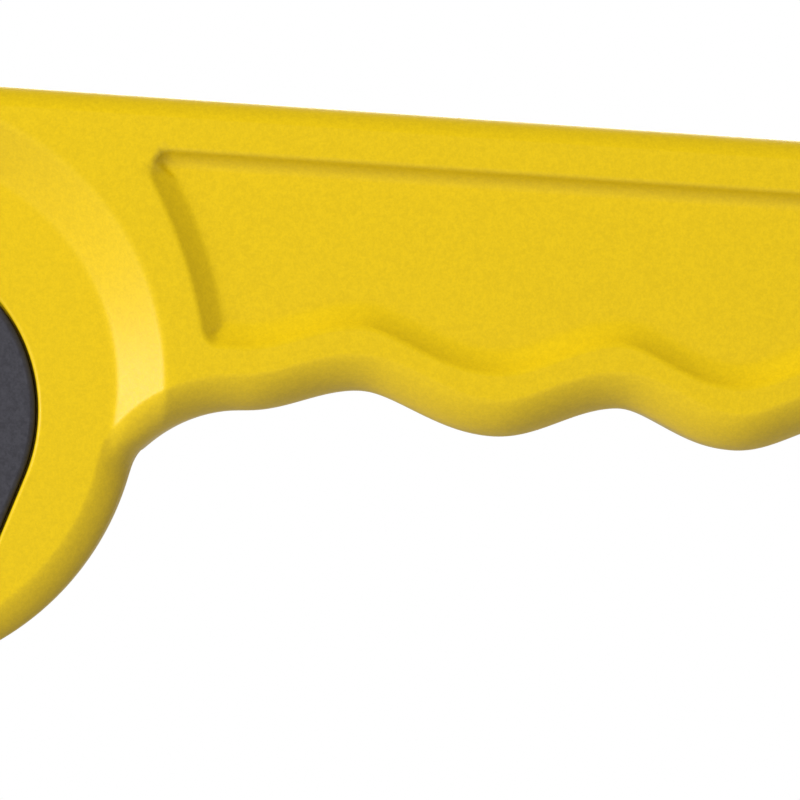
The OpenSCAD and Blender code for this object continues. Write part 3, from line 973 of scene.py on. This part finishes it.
def thumb_tab():
    """Pad riveted to the guard's arm, with ribs the thumb grips."""
    low, high = node_mm("thumb_tab")
    x = np.array([low[0], high[0]]) - AXIS_X
    z = np.array([low[2], high[2]]) - AXIS_Z
    back, pad = low[1], high[1] - 0.85
    corners = np.array([[x[0], z[0]], [x[1], z[0]], [x[1], z[1]], [x[0], z[1]]])
    outline = resample(corners, 0.3, 0.5)
    outline = np.clip(outline, [x[0], z[0]], [x[1], z[1]])
    ribs, pitch, height = 5, 1.45, 0.8

    def face(px, pz):
        t = (pz - z[0] - 0.75) / pitch
        wave = np.where((t > -0.3) & (t < ribs - 0.3), 0.5 + 0.5 * np.cos(2 * np.pi * t), 0)
        side = ramp(px, x[0] + 0.5, x[0] + 1.3, 0.2) * (1 - ramp(px, x[1] - 1.3, x[1] - 0.5, 0.2))
        return pad + height * wave ** 1.5 * side

    build = Build()
    row_x = np.arange(x[0], x[1], 0.35)
    rows = [np.stack([row_x, np.full(len(row_x), v)], -1) for v in np.arange(z[0], z[1], 0.18)]
    pits = [(circle(2.15, c, 40), 0.15, pad - 1) for c in rivet_centres()]
    moulded(build, outline, face, 1, back, (0.5, 0.5), pits=pits, rows=rows, spacing=1)
    return build.make("thumb_tab_moulding", "guard", DARK, 50, replaces=["thumb_tab"])


def rivet_centres():
    """Centres of the two rivets, from the box of their CAD node."""
    low, high = node_mm("tab_rivets")
    x = (low[0] - AXIS_X + RIVET_R, high[0] - AXIS_X - RIVET_R)
    z = (low[2] + high[2]) / 2 - AXIS_Z
    return [np.array([v, z]) for v in x]


def tab_rivets():
    """Rivets with domed heads, in seats in the thumb tab."""
    build = Build()
    low, high = node_mm("tab_rivets")[0][1], node_mm("tab_rivets")[1][1]
    shank, dome, under = 1.2, 0.7, high - 0.9
    rise = np.linspace(0, 1.5, 9)
    head = [(RIVET_R * math.cos(t), high - dome + dome * math.sin(t)) for t in rise]
    for at in rivet_centres():
        turned(build, [(shank, low), (shank, under), (RIVET_R, under), *head], at, n=48)
    return build.make("tab_rivets_turned", "guard", STEEL, replaces=["tab_rivets"])


# ---------------------------------------------------------------- knob
def knob():
    """Fluted clamping knob: soft-edged flutes, a dished face and a hub round the brass insert."""
    low, high = KNOB_Y
    seat = node_mm("knob_insert")[0][1]
    flutes, depth, crown = 14, 0.95, 1.5

    def fluted(radius, share):
        def r(a):
            # a narrow scallop at each flute and a broad land between
            return radius - depth * share * (0.5 + 0.5 * np.cos(flutes * a)) ** 1.6

        return r

    outer = [(KNOB_R - 0.5, low, 0.8), (KNOB_R - 0.15, low + 0.15, 0.95), (KNOB_R, low + 0.5, 1)]
    outer += [(KNOB_R, low + v, 1) for v in (2, 3.5, 5)]
    for t in np.linspace(0, 1.57, 9):
        r, y = KNOB_R - crown * (1 - math.cos(t)), high - crown + crown * math.sin(t)
        outer.append((r, y, 1 - 0.75 * (t / 1.57) ** 2))
    rings = [(7.2, seat), (7.2, low + 0.1), (7.4, low)]
    rings += [(fluted(r, share), y) for r, y, share in outer]
    rings += [(10.2, high), (9.9, high - 0.05), (9.4, high - 0.45), (8.9, high - 0.6)]
    rings += [(7.6, high - 0.6), (7.2, high - 0.5), (6.8, high - 0.1), (6.5, high)]
    rings += [(6.2, high), (6.0, high - 0.12), (6.0, high - 1.5), (4.5, high - 1.5), (4.5, seat)]
    build = Build()
    turned(build, rings, n=336, closed=True)
    return build.make("knob_moulding", "knob", DARK, 38, replaces=["knob"])


def knob_insert():
    """Brass insert with a chamfer at its mouth."""
    build = Build()
    low, high = node_mm("knob_insert")[0][1], node_mm("knob_insert")[1][1]
    bore, outer = 2.56, 4.5
    rings = [(outer, low), (outer, high - 0.1), (outer - 0.15, high), (3.0, high)]
    rings += [(bore, high - 0.4), (bore, low)]
    turned(build, rings, n=96, closed=True)
    return build.make("knob_insert_turned", "knob", BRASS, 30, replaces=["knob_insert"])


near_half()
far_half()
axle_plate()
axle_bolt()
washer("hub_washer", 8, 2.6)
washer("guard_washer", 11, 2.6, edge=0.18)
spring_washer()
retaining_clip()
hang_eyelet()
shell_screws()
blade()
guard()
thumb_tab()
tab_rivets()
knob()
knob_insert()
# pieces inside keep their CAD meshes and take a finish
inside_finish = {"thread_inserts": BRASS, "axle_sleeve": STEEL, "blade_hub": BRASS, "slot_guide": BRASS}
for node, finish in inside_finish.items():
    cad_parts[node].material_slots[0].material = finish


# ---------------------------------------------------------------- camera
VIEW_WIDTH = 70.2
VIEW_AT = (48.2, -0.2)
DISTANCE = 600
SENSOR = 36


def add_camera():
    """Long lens, square to the near face."""
    data = bpy.data.cameras.new("camera")
    data.sensor_width = SENSOR
    data.lens = SENSOR * DISTANCE / VIEW_WIDTH
    data.clip_end = 20
    camera = bpy.data.objects.new("camera", data)
    place = np.array([VIEW_AT[0] + AXIS_X, -FACE - DISTANCE, VIEW_AT[1] + AXIS_Z])
    camera.location = place * MM
    camera.rotation_euler = (math.pi / 2, 0, 0)
    bpy.context.scene.collection.objects.link(camera)
    bpy.context.scene.camera = camera


# ---------------------------------------------------------------- light and floor, in metres
LIT = ((48 + AXIS_X) * MM, 0, AXIS_Z * MM)
FLOOR_DROP, FLOOR_REACH, FLOOR_BACK = 0.04, 3.0, 0.4


def area_light(name, place, size, power):
    """Round lamp aimed at the middle of what the camera sees."""
    data = bpy.data.lights.new(name, "AREA")
    data.shape = "DISK"
    data.size = size
    data.energy = power
    lamp = bpy.data.objects.new(name, data)
    lamp.location = place
    lamp.rotation_euler = (Vector(LIT) - Vector(place)).to_track_quat("-Z", "Y").to_euler()
    bpy.context.scene.collection.objects.link(lamp)
    return lamp


def studio():
    """White all round for the eye, dimmer for the light it gives."""
    world = bpy.data.worlds.new("studio")
    world.use_nodes = True
    nodes, links = world.node_tree.nodes, world.node_tree.links
    seen = nodes["Background"]
    seen.inputs["Color"].default_value = (1, 1, 1, 1)
    given = nodes.new("ShaderNodeBackground")
    given.inputs["Color"].default_value = (1, 1, 1, 1)
    given.inputs["Strength"].default_value = 0.2
    which = nodes.new("ShaderNodeLightPath")
    choose = nodes.new("ShaderNodeMixShader")
    links.new(which.outputs["Is Camera Ray"], choose.inputs["Fac"])
    links.new(given.outputs["Background"], choose.inputs[1])
    links.new(seen.outputs["Background"], choose.inputs[2])
    links.new(choose.outputs["Shader"], nodes["World Output"].inputs["Surface"])
    bpy.context.scene.world = world
    bpy.context.scene.view_settings.view_transform = "Standard"


def floor_material():
    """Pale and dull from above, and clear from below so that the underside can be looked at."""
    material, tree, shader = new_material("floor_pale", (0.2, 0.2, 0.2), 0.9, specular=0.0)
    shader.inputs["Emission Color"].default_value = (1, 1, 1, 1)
    shader.inputs["Emission Strength"].default_value = 0.38
    clear = tree.nodes.new("ShaderNodeBsdfTransparent")
    underside = tree.nodes.new("ShaderNodeNewGeometry")
    either = tree.nodes.new("ShaderNodeMixShader")
    tree.links.new(underside.outputs["Backfacing"], either.inputs["Fac"])
    tree.links.new(shader.outputs["BSDF"], either.inputs[1])
    tree.links.new(clear.outputs["BSDF"], either.inputs[2])
    tree.links.new(either.outputs["Shader"], tree.nodes["Material Output"].inputs["Surface"])
    return material


def add_floor():
    mesh = bpy.data.meshes.new("floor")
    z = cad_box[0][2] - FLOOR_DROP
    front = [(-FLOOR_REACH, -FLOOR_REACH), (FLOOR_REACH, -FLOOR_REACH)]
    back = [(FLOOR_REACH, FLOOR_BACK), (-FLOOR_REACH, FLOOR_BACK)]
    mesh.from_pydata([(x, y, z) for x, y in front + back], [], [(0, 1, 2, 3)])
    mesh.materials.append(floor_material())
    floor = bpy.data.objects.new("floor", mesh)
    bpy.context.scene.collection.objects.link(floor)


add_camera()
area_light("key", (-1.1, -0.45, 0.02), 0.35, 5.5)
front_lamp = area_light("front", (-0.75, -1.15, 0.55), 0.4, 21.6)
front_lamp.visible_glossy = False
area_light("behind", (0.1, 0.9, 0.5), 0.9, 13)
studio()
add_floor()
